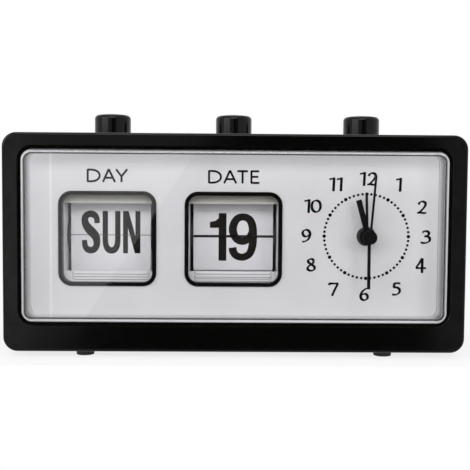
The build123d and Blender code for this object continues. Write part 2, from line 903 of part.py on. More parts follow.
def motor_coil():
    # a wound bobbin lying along X, its end cheeks on the back wall of the movement
    centre = Pos(front_y + movement_inner_back - coil_cheek_radius, coil_z)
    start = clock_x - coil_length / 2
    coil = side_slab(centre * Circle(coil_radius), start, coil_length)
    cheek = centre * Rectangle(2 * coil_cheek_radius, 2 * coil_cheek_radius)
    for x in (start, start + coil_length - coil_cheek_thick):
        coil += side_slab(cheek, x, coil_cheek_thick)
    return coil


def alarm_switch_blade():
    lowest = flange_low_z - alarm_stem_length - alarm_travel
    mid_z = lowest - blade_clear - blade_thick / 2
    return block(clock_x, mid_z, blade_width, blade_thick, board_depth - blade_length, blade_length)


def buzzer():
    cell = disc(clock_x, buzzer_z, buzzer_radius, cover_depth - buzzer_thick, buzzer_thick)
    return cell - disc(clock_x, buzzer_z, buzzer_port_radius, cover_depth - buzzer_thick / 2, buzzer_thick)


# Battery compartment


def battery_box():
    start = cover_depth - bay_depth - bay_wall
    outer = rounded(bay_length + 2 * bay_wall, bay_height + 2 * bay_wall, bay_corner, battery_z, battery_x)
    box = front_slab(outer, start, bay_depth + bay_wall)
    box -= block(battery_x, battery_z, bay_length, bay_height, start + bay_wall, case_depth)
    slot = Rectangle(bay_length + 2 * (bay_wall + cut_over), tag_width + 2 * tag_fit)
    slot_thick = contact_thick + 2 * tag_fit
    return box - front_slab(Pos(battery_x, battery_z) * slot, tag_depth - tag_fit, slot_thick)


def battery_door():
    low = door_axis_z
    high = battery_z + door_opening_height / 2 - door_fit
    length = door_opening_length - 2 * door_fit
    panel = block(battery_x, (low + high) / 2, length, high - low, case_depth - door_thick, door_thick)
    centre = Pos(front_y + door_axis_depth, door_axis_z)
    barrel = side_slab(centre * Circle(door_barrel_radius), battery_x - length / 2, length)
    pin_span = door_opening_length + 2 * door_pin_length
    pin = side_slab(centre * Circle(door_pin_radius), battery_x - pin_span / 2, pin_span)
    return panel + barrel + pin


def contact_plate(side):
    # a flat plate on one end wall, with a solder tag through the wall
    wall_x = battery_x + side * bay_length / 2
    mid_x = wall_x - side * contact_thick / 2
    plate_depth = tag_depth - contact_size / 2
    plate = block(mid_x, battery_z, contact_thick, contact_size, plate_depth, contact_size)
    tag_length = bay_wall + tag_reach + contact_thick / 2
    tag_x = mid_x + side * tag_length / 2
    return plate + block(tag_x, battery_z, tag_length, tag_width, tag_depth, contact_thick)


def battery_plate_contact():
    dimple = Pos(front_y + tag_depth, battery_z) * Circle(contact_dimple_radius)
    face_x = battery_x + bay_length / 2 - contact_thick
    return contact_plate(1) + side_slab(dimple, face_x - contact_dimple, contact_dimple)


def battery_spring_contact():
    face_x = battery_x - bay_length / 2 + contact_thick / 2
    reach = contact_size / 2 - contact_thick / 2
    bow = Polyline(
        (face_x, battery_z - reach),
        (face_x + contact_bow, battery_z),
        (face_x + contact_bow / 2, battery_z + reach),
    )
    strip = front_slab(trace(bow, contact_thick), tag_depth - tag_width / 2, tag_width)
    return contact_plate(-1) + strip


def lead(side, route):
    # a thin wire from a battery tag to the movement, with bends as large as its runs allow
    points = [Vector(battery_x + side * tag_end, front_y + lead_depth, battery_z)]
    for x, share, z in route:
        points.append(Vector(x, front_y + movement_back + share * (lead_depth - movement_back), z))
    bends = []
    for before, corner, after in zip(points, points[1:], points[2:]):
        shorter = min((corner - before).length, (after - corner).length)
        turn = radians((corner - before).get_angle(after - corner))
        bends.append(lead_run_share * shorter / tan(turn / 2))
    path = FilletPolyline(*points, radius=bends)
    wire = sweep(Plane(origin=points[0], z_dir=path % 0) * RegularPolygon(lead_radius, lead_sides), path)
    print("lead bend radii", [round(bend, 1) for bend in bends])
    section = lead_sides / 2 * lead_radius**2 * sin(2 * pi / lead_sides)
    print("lead volume", wire.volume, "section by length", section * path.length)
    return wire


os.makedirs("parts", exist_ok=True)
save("front_bezel", front_bezel())
save("case_shell", case_shell())
save("rear_cover", rear_cover())
save("rubber_feet", rubber_feet())
save("cover_screws", cover_screws())
save("dial_screws", dial_screws())
save("lens", lens())
save("dial_plate", dial_plate())
for name, (x, count, split) in counters.items():
    save(f"{name}_window_frame", window_frame(x))
    save(f"{name}_carrier", carrier(x))
    save(f"{name}_drum", drum(x, count))
    save(f"{name}_axle", axle(x))
    save(f"{name}_ratchet", ratchet(x, count))
    save(f"{name}_detent", detent(x))
    save(f"{name}_leaves", hanging_leaves(x, count, split))
    save(f"{name}_flip_leaf", flip_leaf(x, count, split))
    save(f"{name}_button", counter_button(x, count))
    save(f"{name}_button_spring", button_spring(x))
    pivot_y, pivot_z = pivot_point(180 / count)
    print(name, "step", 360 / count, "travel", pawl_travel(count), "leaf pivot", pivot_y, pivot_z)
save("alarm_button", alarm_button())
save("alarm_button_spring", button_spring(clock_x))
save("second_hand", second_hand())
for name, length, width, angle, tube in (
    ("minute", minute_hand_length, minute_hand_width, minute_hand_angle, minute_tube_radius),
    ("hour", hour_hand_length, hour_hand_width, hour_hand_angle, hour_tube_radius),
    ("alarm", alarm_hand_length, alarm_hand_width, alarm_hand_angle, alarm_tube_radius),
):
    save(f"{name}_hand", hand(name, length, width, angle, tube + press_fit))
save("cannon_pinion", cannon_pinion())
save("hour_wheel", hour_wheel())
save("alarm_wheel", alarm_wheel())
save("minute_wheel", minute_wheel())
save("alarm_set_pinion", alarm_set_pinion())
save("time_set_knob", set_knob(time_set_place))
save("alarm_set_knob", set_knob(alarm_set_place))
save("movement_plate", movement_plate())
save("movement_case", movement_case())
save("circuit_board", circuit_board())
save("motor_coil", motor_coil())
save("alarm_switch_blade", alarm_switch_blade())
save("buzzer", buzzer())
save("battery_box", battery_box())
save("battery_door", battery_door())
save("battery_plate_contact", battery_plate_contact())
save("battery_spring_contact", battery_spring_contact())
save("positive_lead", lead(1, positive_route_shares))
save("negative_lead", lead(-1, negative_route_shares))
print("axis y", front_y + axis_depth, "time", time_set_place, "alarm", alarm_set_place)
print("door axis", front_y + door_axis_depth, door_axis_z)
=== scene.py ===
import json
import math

import bpy
from mathutils import Euler, Matrix, Vector
from mathutils.geometry import delaunay_2d_cdt


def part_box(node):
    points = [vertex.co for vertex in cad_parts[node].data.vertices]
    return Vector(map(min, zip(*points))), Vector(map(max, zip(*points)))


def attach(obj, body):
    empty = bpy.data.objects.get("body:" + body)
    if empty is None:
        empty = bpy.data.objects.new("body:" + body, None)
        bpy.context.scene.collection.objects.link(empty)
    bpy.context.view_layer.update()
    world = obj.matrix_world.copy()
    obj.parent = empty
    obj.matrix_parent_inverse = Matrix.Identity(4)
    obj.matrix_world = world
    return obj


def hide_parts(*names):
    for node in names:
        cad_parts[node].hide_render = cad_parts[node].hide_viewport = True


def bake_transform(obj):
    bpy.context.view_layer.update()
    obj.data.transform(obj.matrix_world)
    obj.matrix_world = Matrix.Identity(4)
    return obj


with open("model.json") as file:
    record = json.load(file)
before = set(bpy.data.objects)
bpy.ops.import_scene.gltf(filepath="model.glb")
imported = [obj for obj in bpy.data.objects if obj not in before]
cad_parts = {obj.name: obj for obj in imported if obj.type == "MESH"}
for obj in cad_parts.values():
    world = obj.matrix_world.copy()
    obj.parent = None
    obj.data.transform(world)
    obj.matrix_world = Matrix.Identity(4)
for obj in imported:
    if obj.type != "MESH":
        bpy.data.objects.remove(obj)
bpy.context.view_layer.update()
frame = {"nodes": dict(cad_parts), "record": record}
cadNodes = frame["nodes"]
scene = bpy.context.scene
mm = 0.001
print("frame:", len(cadNodes), "CAD nodes")


def hexColour(code):
    # sRGB hex to the linear colour the sockets want
    channels = [int(code[i:i + 2], 16) / 255 for i in (1, 3, 5)]
    linear = [c / 12.92 if c <= 0.04045 else ((c + 0.055) / 1.055) ** 2.4 for c in channels]
    return (*linear, 1.0)


def addNode(tree, kind, inputs=None, **settings):
    # one node, its settings and what goes into its sockets: a value, a hex colour or another node's output
    node = tree.nodes.new(kind)
    for name, value in settings.items():
        setattr(node, name, value)
    for name, value in (inputs or {}).items():
        if isinstance(value, bpy.types.NodeSocket):
            tree.links.new(value, node.inputs[name])
        else:
            node.inputs[name].default_value = hexColour(value) if isinstance(value, str) else value
    return node


def startMaterial(name):
    mat = bpy.data.materials.new(name)
    mat.use_nodes = True
    tree = mat.node_tree
    tree.nodes.clear()
    place = addNode(tree, "ShaderNodeTexCoord").outputs["Object"]
    return mat, tree, place


def perMm(size):
    # noise scale for features this many mm across, object space being in metres
    return 1 / (size * mm)


# camera, fitted to the case outline, the windows and the hands standing off the dial
cameraSetup = {
    "place": (-4.1, -355.6, 65.5),  # mm
    "yaw": 0.72,  # degrees, as the three below
    "pitch": -3.21,
    "roll": 0.40,
    "fieldOfView": 31.33,
    "nearest": 0.01,  # m
}
cameraData = bpy.data.cameras.new("camera")
cameraData.angle = math.radians(cameraSetup["fieldOfView"])
cameraData.clip_start = cameraSetup["nearest"]
camera = bpy.data.objects.new("camera", cameraData)
scene.collection.objects.link(camera)
aim = Euler((math.pi / 2 + math.radians(cameraSetup["pitch"]), 0, -math.radians(cameraSetup["yaw"])))
turn = aim.to_matrix() @ Matrix.Rotation(math.radians(cameraSetup["roll"]), 3, "Z")
camera.matrix_world = Matrix.Translation(Vector(cameraSetup["place"]) * mm) @ turn.to_4x4()
scene.camera = camera
scene.view_settings.view_transform = "Standard"
print("camera set")

# floor and backdrop, white where the camera or a mirror looks at them
studio = {
    "floorSize": 3.0,  # m, to the sides and back
    "tableEdge": 0.05,  # m in front of the clock's middle
    "backdropPlace": 0.75,  # m behind it
    "backdropFoot": -0.01,
    "backdropSize": (6.0, 2.4),
    "paper": ("#f1f1f0", "#f6f6f5"),
    "glow": 0.78,  # share that stays white under the shadow
    "grain": 1.5,  # mm, paper fibre
}


def seenRay(tree):
    # 1 for what the camera sees, straight, mirrored or through glass
    path = addNode(tree, "ShaderNodeLightPath")
    mirrored = addNode(tree, "ShaderNodeMath",
                       {0: path.outputs["Is Glossy Ray"], 1: path.outputs["Is Transmission Ray"]},
                       operation="MAXIMUM")
    seen = addNode(tree, "ShaderNodeMath", {0: path.outputs["Is Camera Ray"], 1: mirrored.outputs[0]},
                   operation="MAXIMUM")
    return seen.outputs[0]


def stagePaper(name, glow):
    # seamless studio paper, matt, its faint fibre only just seen
    mat, tree, place = startMaterial(name)
    dark, light = studio["paper"]
    fibre = addNode(tree, "ShaderNodeTexNoise",
                    {"Vector": place, "Scale": perMm(studio["grain"]), "Detail": 3})
    tint = addNode(tree, "ShaderNodeMix", {0: fibre.outputs["Fac"], 6: dark, 7: light}, data_type="RGBA")
    matt = addNode(tree, "ShaderNodeBsdfDiffuse", {"Color": tint.outputs[2]})
    white = addNode(tree, "ShaderNodeEmission", {"Color": "#ffffff", "Strength": 1.0})
    share = addNode(tree, "ShaderNodeMath", {0: seenRay(tree), 1: glow}, operation="MULTIPLY")
    both = addNode(tree, "ShaderNodeMixShader",
                   {0: share.outputs[0], 1: matt.outputs[0], 2: white.outputs[0]})
    addNode(tree, "ShaderNodeOutputMaterial", {"Surface": both.outputs[0]})
    return mat


def stageSheet(name, corners, mat):
    mesh = bpy.data.meshes.new(name)
    mesh.from_pydata([Vector(c) for c in corners], [], [(0, 1, 2, 3)])
    mesh.materials.append(mat)
    sheet = bpy.data.objects.new(name, mesh)
    scene.collection.objects.link(sheet)
    return sheet


half, edge = studio["floorSize"], studio["tableEdge"]
stageSheet("floor", [(-half, -edge, 0), (half, -edge, 0), (half, half, 0), (-half, half, 0)],
           stagePaper("floorPaper", studio["glow"]))
wide, tall = studio["backdropSize"]
behind, foot = studio["backdropPlace"], studio["backdropFoot"]
stageSheet("backdrop", [(-wide / 2, behind, foot), (wide / 2, behind, foot), (wide / 2, behind, tall),
                        (-wide / 2, behind, tall)], stagePaper("backdropPaper", 1.0))

# a dark cloth behind the camera keeps the black plastic black, as in the dim room of the photograph
cloth = {
    "place": -1.6,  # m, as the three below
    "side": 0.8,
    "low": -0.6,
    "high": 0.55,
    "tones": ("#38373a", "#444346"),
    "weave": 3.0,  # mm
}
clothMat, clothTree, clothPlace = startMaterial("darkCloth")
weave = addNode(clothTree, "ShaderNodeTexNoise", {"Vector": clothPlace, "Scale": perMm(cloth["weave"])})
clothTint = addNode(clothTree, "ShaderNodeMix",
                    {0: weave.outputs["Fac"], 6: cloth["tones"][0], 7: cloth["tones"][1]}, data_type="RGBA")
clothMatt = addNode(clothTree, "ShaderNodeBsdfDiffuse", {"Color": clothTint.outputs[2]})
addNode(clothTree, "ShaderNodeOutputMaterial", {"Surface": clothMatt.outputs[0]})
side, away = cloth["side"], cloth["place"]
flag = stageSheet("darkCloth", [(-side, away, cloth["low"]), (side, away, cloth["low"]),
                                (side, away, cloth["high"]), (-side, away, cloth["high"])], clothMat)
flag.visible_camera = False

# soft boxes that light the clock: place and size in m, watts
# the cards and the strip stand upright, leaning by so many degrees, for the lens and the bezel to mirror
# the fill box isn't mirrored, since it would draw a hard stripe on the buttons
lampAim = (0, 0, 0.045)  # m, the middle of the clock
lamps = {
    "keyBox": {"place": (-0.85, -0.85, 0.42), "size": (1.0, 0.5), "watts": 5.3},
    "fillBox": {"place": (0.66, -1.00, 0.30), "size": (0.36, 0.5), "watts": 3.4, "mirrored": False},
    "frontBox": {"place": (0.0, -0.98, 0.60), "size": (0.7, 0.34), "watts": 4.1},
    "topBox": {"place": (0.0, 0.05, 1.0), "size": (0.9, 0.6), "watts": 2.4},
    "windowCard": {"place": (-0.29, -1.30, 0.064), "size": (0.31, 0.62), "watts": 0.37, "lean": 33.5},
    "leftCard": {"place": (-0.405, -1.29, -0.02), "size": (0.05, 0.62), "watts": 0.12, "lean": 0.0},
    "rightCard": {"place": (0.44, -1.30, -0.02), "size": (0.06, 0.62), "watts": 0.1, "lean": 0.0},
    "windowEdge": {"place": (-0.322, -1.25, 0.0), "size": (0.004, 0.36), "watts": 0.006, "lean": 0.0},
}
for lampName, box in lamps.items():
    data = bpy.data.lights.new(lampName, "AREA")
    data.shape = "RECTANGLE"
    data.size, data.size_y = box["size"]
    data.energy = box["watts"]
    lamp = bpy.data.objects.new(lampName, data)
    lamp.location = box["place"]
    if "lean" in box:  # upright, facing the clock
        lamp.rotation_euler = (math.pi / 2, math.radians(box["lean"]), 0)
    else:
        lamp.rotation_euler = (Vector(lampAim) - lamp.location).to_track_quat("-Z", "Y").to_euler()
    lamp.visible_camera = False
    lamp.visible_glossy = box.get("mirrored", True)
    scene.collection.objects.link(lamp)

# room light, even; the camera, mirrors and glass see it as white
room = {"light": 0.52}
world = bpy.data.worlds.new("room")
scene.world = world
world.use_nodes = True
worldTree = world.node_tree
worldTree.nodes.clear()
level = addNode(worldTree, "ShaderNodeMapRange", {"Value": seenRay(worldTree), "To Min": room["light"]})
sky = addNode(worldTree, "ShaderNodeBackground", {"Color": "#ffffff", "Strength": level.outputs[0]})
addNode(worldTree, "ShaderNodeOutputWorld", {"Surface": sky.outputs[0]})
print("studio lit by", len(lamps), "lamps")

# skin of a solid colour; sizes in mm
skin = {
    "drift": 14.0,  # over which the colour drifts
    "patch": 14.0 / 3,  # more and less glossy from handling
    "patchSpan": (0.3, 0.7),
    "glossier": 0.02,
    "duller": 0.03,
    "relief": 0.5,
}


def solidColour(name, light, dark, roughness, grain, grainDepth, ior, specular, paintedShade=None):
    # moulded, dipped or printed in one colour: a fine texture breaks up the gloss and the colour drifts a little
    mat, tree, place = startMaterial(name)
    drift = addNode(tree, "ShaderNodeTexNoise", {"Vector": place, "Scale": perMm(skin["drift"]), "Detail": 4})
    colour = addNode(tree, "ShaderNodeMix", {0: drift.outputs["Fac"], 6: dark, 7: light}, data_type="RGBA")
    if paintedShade:
        # painted shade: the upper part turns darker between two heights, for the visor lying in the frame's shade
        height = addNode(tree, "ShaderNodeSeparateXYZ", {0: place})
        shadedShare = addNode(tree, "ShaderNodeMapRange", {"Value": height.outputs["Z"], "From Min": paintedShade["low"] * mm,
                                                     "From Max": paintedShade["high"] * mm})
        colour = addNode(tree, "ShaderNodeMix", {0: shadedShare.outputs[0], 6: colour.outputs[2], 7: paintedShade["colour"]},
                         data_type="RGBA")
    texture = addNode(tree, "ShaderNodeTexNoise", {"Vector": place, "Scale": perMm(grain), "Detail": 5})
    handled = addNode(tree, "ShaderNodeTexNoise", {"Vector": place, "Scale": perMm(skin["patch"]), "Detail": 6})
    rough = addNode(tree, "ShaderNodeMapRange",
                    {"Value": handled.outputs["Fac"], "From Min": skin["patchSpan"][0],
                     "From Max": skin["patchSpan"][1], "To Min": roughness - skin["glossier"],
                     "To Max": roughness + skin["duller"]})
    bump = addNode(tree, "ShaderNodeBump", {"Strength": skin["relief"], "Distance": grainDepth * mm,
                                            "Height": texture.outputs["Fac"]})
    shader = addNode(tree, "ShaderNodeBsdfPrincipled",
                     {"Base Color": colour.outputs[2], "Roughness": rough.outputs[0], "IOR": ior,
                      "Specular IOR Level": specular, "Normal": bump.outputs[0]})
    addNode(tree, "ShaderNodeOutputMaterial", {"Surface": shader.outputs[0]})
    return mat


# painted shade on the carriers' visor, darker from the lower to the upper height
visorShade = {"low": 57.0, "high": 60.5, "colour": "#a9a69c"}  # mm
# light and dark tone, roughness, grain and its depth in mm, IOR, specular level
# the texture of a real tool is about 0.1 mm; it is drawn at 0.3 to 0.6 so that it shows
solidColours = {
    # ABS from a polished tool: deep black with a faint mirror of the room
    "blackAbs": ("#060605", "#030303", 0.12, 0.35, 0.003, 1.54, 0.16),
    # thin polystyrene moulding: as glossy, with less of a mirror
    "blackStyrene": ("#080506", "#040303", 0.12, 0.5, 0.002, 1.59, 0.1),
    # polystyrene from a plain tool: white and satin, with painted shade darkening the visor
    "whiteStyrene": ("#ebeaed", "#e4e3e6", 0.45, 0.5, 0.01, 1.59, 0.5, visorShade),
    # acetal with carbon black: dark grey and waxy
    "darkAcetal": ("#2a2a2c", "#1f1f21", 0.45, 0.4, 0.01, 1.48, 0.5),
    # acetal without pigment: cream and waxy
    "naturalAcetal": ("#e8e2cf", "#dcd5bf", 0.38, 0.4, 0.008, 1.48, 0.5),
    # filled polystyrene from an eroded tool: a dull dark grey
    "greyStyrene": ("#3c3d40", "#303134", 0.42, 0.4, 0.012, 1.57, 0.5),
    # lacquer sprayed on stamped hands: black and half glossy
    "blackHandLacquer": ("#0e0a0b", "#080606", 0.3, 0.3, 0.002, 1.5, 0.15),
    # PVC film where the knife went through: a matt grey line, partly its own cut edge and partly painted shade
    "cutEdgeAndShade": ("#626268", "#57575d", 0.6, 0.3, 0.004, 1.53, 0.5),
    # ink screened thickly on the dial: dense black and matt
    "blackScreenInk": ("#080707", "#040404", 0.6, 0.3, 0.004, 1.5, 0.06),
    # ink printed thinly on film: a warm black that light gets into
    "blackFilmInk": ("#1a1612", "#130f0d", 0.6, 0.3, 0.004, 1.5, 0.1),
    # soft PVC drawn round a wire: red with a dull shine
    "redPvc": ("#a8201c", "#8f1815", 0.45, 0.6, 0.02, 1.53, 0.5),
    # the same in black
    "blackPvc": ("#1c1c1c", "#131313", 0.48, 0.6, 0.02, 1.53, 0.5),
    # pressed rubber: black turned grey, without shine
    "blackFootRubber": ("#1d1d1c", "#141413", 0.72, 0.5, 0.03, 1.52, 0.5),
}
solid = {name: solidColour(name, *values) for name, values in solidColours.items()}

rolling = {
    "stretch": 0.06,  # a line's width as a share of its length
    "glossier": 0.06,
    "duller": 0.1,
    "relief": 0.3,
    "depth": 0.01,  # mm
}


def rolledMetal(name, light, dark, roughness, line):
    # cold rolled strip: bright, with fine lines along the rolling direction that stretch the reflections
    mat, tree, place = startMaterial(name)
    drawn = addNode(tree, "ShaderNodeMapping", {"Vector": place, "Scale": (rolling["stretch"], 1.0, 1.0)})
    lines = addNode(tree, "ShaderNodeTexNoise", {"Vector": drawn.outputs[0], "Scale": perMm(line), "Detail": 3})
    colour = addNode(tree, "ShaderNodeMix", {0: lines.outputs["Fac"], 6: dark, 7: light}, data_type="RGBA")
    rough = addNode(tree, "ShaderNodeMapRange",
                    {"Value": lines.outputs["Fac"], "To Min": roughness - rolling["glossier"],
                     "To Max": roughness + rolling["duller"]})
    bump = addNode(tree, "ShaderNodeBump", {"Strength": rolling["relief"], "Distance": rolling["depth"] * mm,
                                            "Height": lines.outputs["Fac"]})
    shader = addNode(tree, "ShaderNodeBsdfPrincipled",
                     {"Base Color": colour.outputs[2], "Metallic": 1.0, "Roughness": rough.outputs[0],
                      "Normal": bump.outputs[0]})
    addNode(tree, "ShaderNodeOutputMaterial", {"Surface": shader.outputs[0]})
    return mat


# hardened steel strip: cool grey, with fine streaks
springSteel = rolledMetal("springSteel", "#c9c9c9", "#a8a8a9", 0.24, 0.12)
# nickel-plated strip: brighter and warmer
nickelStrip = rolledMetal("nickelStrip", "#d6cfc2", "#b9b2a4", 0.18, 0.15)

sheetFace = {
    "cloud": 22.0,  # mm
    "speckShare": 0.4,
    "toneSpan": (0.45, 0.95),
    "glossSpread": 0.05,
    "relief": 0.25,
    "depth": 0.01,  # mm
    "ior": 1.5,
}


def printedSheet(name, light, dark, fibre, roughness):
    # coated sheet with a satin face: an even pale tone with a slight cloudiness
    mat, tree, place = startMaterial(name)
    cloud = addNode(tree, "ShaderNodeTexNoise", {"Vector": place, "Scale": perMm(sheetFace["cloud"]), "Detail": 3})
    speck = addNode(tree, "ShaderNodeTexNoise", {"Vector": place, "Scale": perMm(fibre), "Detail": 5})
    mixed = addNode(tree, "ShaderNodeMath",
                    {0: speck.outputs["Fac"], 1: sheetFace["speckShare"], 2: cloud.outputs["Fac"]},
                    operation="MULTIPLY_ADD")
    tone = addNode(tree, "ShaderNodeMapRange", {"Value": mixed.outputs[0], "From Min": sheetFace["toneSpan"][0],
                                                "From Max": sheetFace["toneSpan"][1]})
    colour = addNode(tree, "ShaderNodeMix", {0: tone.outputs[0], 6: dark, 7: light}, data_type="RGBA")
    rough = addNode(tree, "ShaderNodeMapRange",
                    {"Value": speck.outputs["Fac"], "To Min": roughness - sheetFace["glossSpread"],
                     "To Max": roughness + sheetFace["glossSpread"]})
    bump = addNode(tree, "ShaderNodeBump", {"Strength": sheetFace["relief"], "Distance": sheetFace["depth"] * mm,
                                            "Height": speck.outputs["Fac"]})
    shader = addNode(tree, "ShaderNodeBsdfPrincipled",
                     {"Base Color": colour.outputs[2], "Roughness": rough.outputs[0], "IOR": sheetFace["ior"],
                      "Normal": bump.outputs[0]})
    addNode(tree, "ShaderNodeOutputMaterial", {"Surface": shader.outputs[0]})
    return mat


# card with a coat for screen printing: a very pale, even grey
dialSheet = printedSheet("printedDialSheet", "#e0dfe1", "#d7d6d9", 0.4, 0.5)
# calendered PVC film: whiter, with a little more sheen
leafFilm = printedSheet("whitePvcFilm", "#efeef1", "#e8e7eb", 0.3, 0.42)

lensGlass = {
    "tint": "#fbfbfc",
    "ior": 1.49,
    "shade": "#f6f6f6",  # what is left of a lamp's light behind it
    "wipeSize": 2.5,  # mm
    "wipeStretch": 0.15,
    "wipeTurn": 0.5,  # radians
    "wipeSpan": (0.45, 0.75),
    "wipeRoughness": 0.045,
}
lensWall = {
    "corner": 4.4,  # mm, radius of the lens's front outline
    "flange": 3.2,  # mm, how far the hidden flange stands out beyond that outline
    "slack": 0.2,  # mm, what lies this near the outline counts as wall
    "edge": 1.4,  # mm, depth of the rounded front edge
    # strength of the painted glow of the wall, lighting the rim of the dial, at its foot and at its top
    "glowLow": 0.6,  # light that the wall brings to the dial, at its foot and at its top
    "glowHigh": 1.15,
    # painted tones of the clear wall and flange: dark for the reveal seen through them, pale for light from the
    # dial
    "darkTone": "#060607",
    "paleTone": "#f2f2f4",
    "paleFrom": 0.45,  # share of the depth where the wall starts to turn pale
    "pale": 0.8,
    "flangePale": 0.6,
    # painted dark line on the glass, for the reveal seen round the inside corner
    "line": 1.7,  # mm in from the outline
    "lineWidth": 0.5,
    "lineDark": 0.8,
}


def clearAcrylic():
    # polished moulded acrylic: clear, a hint of grey, faint wiping marks in the gloss; lamps shine through it
    mat, tree, place = startMaterial("clearAcrylic")
    wiped = addNode(tree, "ShaderNodeMapping", {"Vector": place, "Scale": (lensGlass["wipeStretch"], 1.0, 1.0),
                                                "Rotation": (0, lensGlass["wipeTurn"], 0)})
    marks = addNode(tree, "ShaderNodeTexNoise",
                    {"Vector": wiped.outputs[0], "Scale": perMm(lensGlass["wipeSize"]), "Detail": 4})
    rough = addNode(tree, "ShaderNodeMapRange",
                    {"Value": marks.outputs["Fac"], "From Min": lensGlass["wipeSpan"][0],
                     "From Max": lensGlass["wipeSpan"][1], "To Min": 0.0, "To Max": lensGlass["wipeRoughness"]})
    glass = addNode(tree, "ShaderNodeBsdfPrincipled",
                    {"Base Color": lensGlass["tint"], "Roughness": rough.outputs[0], "IOR": lensGlass["ior"],
                     "Transmission Weight": 1.0})
    # how far a point stands out towards the outline, round its corners too
    low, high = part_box("lens")
    inset = lensWall["flange"] + lensWall["corner"]
    reach = [(high[i] - low[i]) / 2 - inset * mm for i in (0, 2)]
    fromMiddle = addNode(tree, "ShaderNodeVectorMath", {0: place, 1: (low + high) / 2}, operation="SUBTRACT")
    outward = addNode(tree, "ShaderNodeVectorMath", {0: fromMiddle.outputs[0]}, operation="ABSOLUTE")
    beyond = addNode(tree, "ShaderNodeVectorMath", {0: outward.outputs[0], 1: (reach[0], 1.0, reach[1])},
                     operation="SUBTRACT")
    cornerWay = addNode(tree, "ShaderNodeVectorMath", {0: beyond.outputs[0], 1: (0, 0, 0)}, operation="MAXIMUM")
    distance = addNode(tree, "ShaderNodeVectorMath", {0: cornerWay.outputs[0]}, operation="LENGTH")
    standsOut = distance.outputs["Value"]
    axes = addNode(tree, "ShaderNodeSeparateXYZ", {0: place})
    behindEdge = addNode(tree, "ShaderNodeMath", {0: axes.outputs["Y"], 1: low.y + lensWall["edge"] * mm},
                         operation="GREATER_THAN")
    # painted reflection: a dark line round the front stands for the black reveal that the inside corner bends the
    # view to
    ring = addNode(tree, "ShaderNodeMath", {0: standsOut, 1: (lensWall["corner"] - lensWall["line"]) * mm,
                                            2: lensWall["lineWidth"] / 2 * mm}, operation="COMPARE")
    ringFront = addNode(tree, "ShaderNodeMath", {0: ring.outputs[0], 1: behindEdge.outputs[0]},
                        operation="SUBTRACT", use_clamp=True)
    ringDark = addNode(tree, "ShaderNodeMath", {0: ringFront.outputs[0], 1: lensWall["lineDark"]},
                       operation="MULTIPLY")
    lineShade = addNode(tree, "ShaderNodeBsdfDiffuse", {"Color": lensWall["darkTone"]})
    lined = addNode(tree, "ShaderNodeMixShader", {0: ringDark.outputs[0], 1: glass.outputs[0],
                                                  2: lineShade.outputs[0]})
    through = addNode(tree, "ShaderNodeBsdfTransparent", {"Color": lensGlass["shade"]})
    path = addNode(tree, "ShaderNodeLightPath")
    lit = addNode(tree, "ShaderNodeMath", {0: path.outputs["Is Shadow Ray"], 1: path.outputs["Is Diffuse Ray"]},
                  operation="MAXIMUM")
    plate = addNode(tree, "ShaderNodeMixShader", {0: lit.outputs[0], 1: lined.outputs[0], 2: through.outputs[0]})
    # painted shade and light on the clear outer wall: dark in front, for the black reveal seen through it, and
    # paler towards the white dial, for light from the dial
    fading = addNode(tree, "ShaderNodeMapRange",
                     {"Value": axes.outputs["Y"], "From Min": low.y + (high.y - low.y) * lensWall["paleFrom"],
                      "From Max": high.y, "To Min": 0.0, "To Max": lensWall["pale"]})
    onFlange = addNode(tree, "ShaderNodeMath", {0: standsOut, 1: (lensWall["corner"] + lensWall["slack"]) * mm},
                       operation="GREATER_THAN")
    paleness = addNode(tree, "ShaderNodeMix", {0: onFlange.outputs[0], 2: fading.outputs[0],
                                               3: lensWall["flangePale"]})
    wallTone = addNode(tree, "ShaderNodeMix",
                       {0: paleness.outputs[0], 6: lensWall["darkTone"], 7: lensWall["paleTone"]},
                       data_type="RGBA")
    wallPaintedTone = addNode(tree, "ShaderNodeBsdfDiffuse", {"Color": wallTone.outputs[2]})
    # a painted glow: the wall emits light that only diffuse rays see, brightening the rim of the dial more at the
    # top than at the foot, for the light the clear wall pipes there
    rising = addNode(tree, "ShaderNodeMapRange",
                     {"Value": axes.outputs["Z"], "From Min": low.z, "From Max": high.z,
                      "To Min": lensWall["glowLow"], "To Max": lensWall["glowHigh"]})
    wallGlow = addNode(tree, "ShaderNodeEmission", {"Color": "#ffffff", "Strength": rising.outputs[0]})
    side = addNode(tree, "ShaderNodeMixShader", {0: path.outputs["Is Diffuse Ray"], 1: wallPaintedTone.outputs[0],
                                                 2: wallGlow.outputs[0]})
    onWall = addNode(tree, "ShaderNodeMath", {0: standsOut, 1: (lensWall["corner"] - lensWall["slack"]) * mm},
                     operation="GREATER_THAN")
    wall = addNode(tree, "ShaderNodeMath", {0: onWall.outputs[0], 1: behindEdge.outputs[0]}, operation="MULTIPLY")
    whole = addNode(tree, "ShaderNodeMixShader", {0: wall.outputs[0], 1: plate.outputs[0], 2: side.outputs[0]})
    addNode(tree, "ShaderNodeOutputMaterial", {"Surface": whole.outputs[0]})
    return mat


waveTurn = math.pi / 10  # a wave texture repeats each time its scaled place has moved on by this much
board = {
    "lacquer": ("#0d5a2c", "#0a4d25"),
    "track": "#2c8a4a",
    "trackGap": 4.0,  # mm
    "trackWidth": 0.05,
    "weave": 1.578,  # mm
    "weaveStray": 0.6,
    "relief": 0.3,
    "depth": 0.02,  # mm
    "roughness": 0.3,
    "ior": 1.55,
}


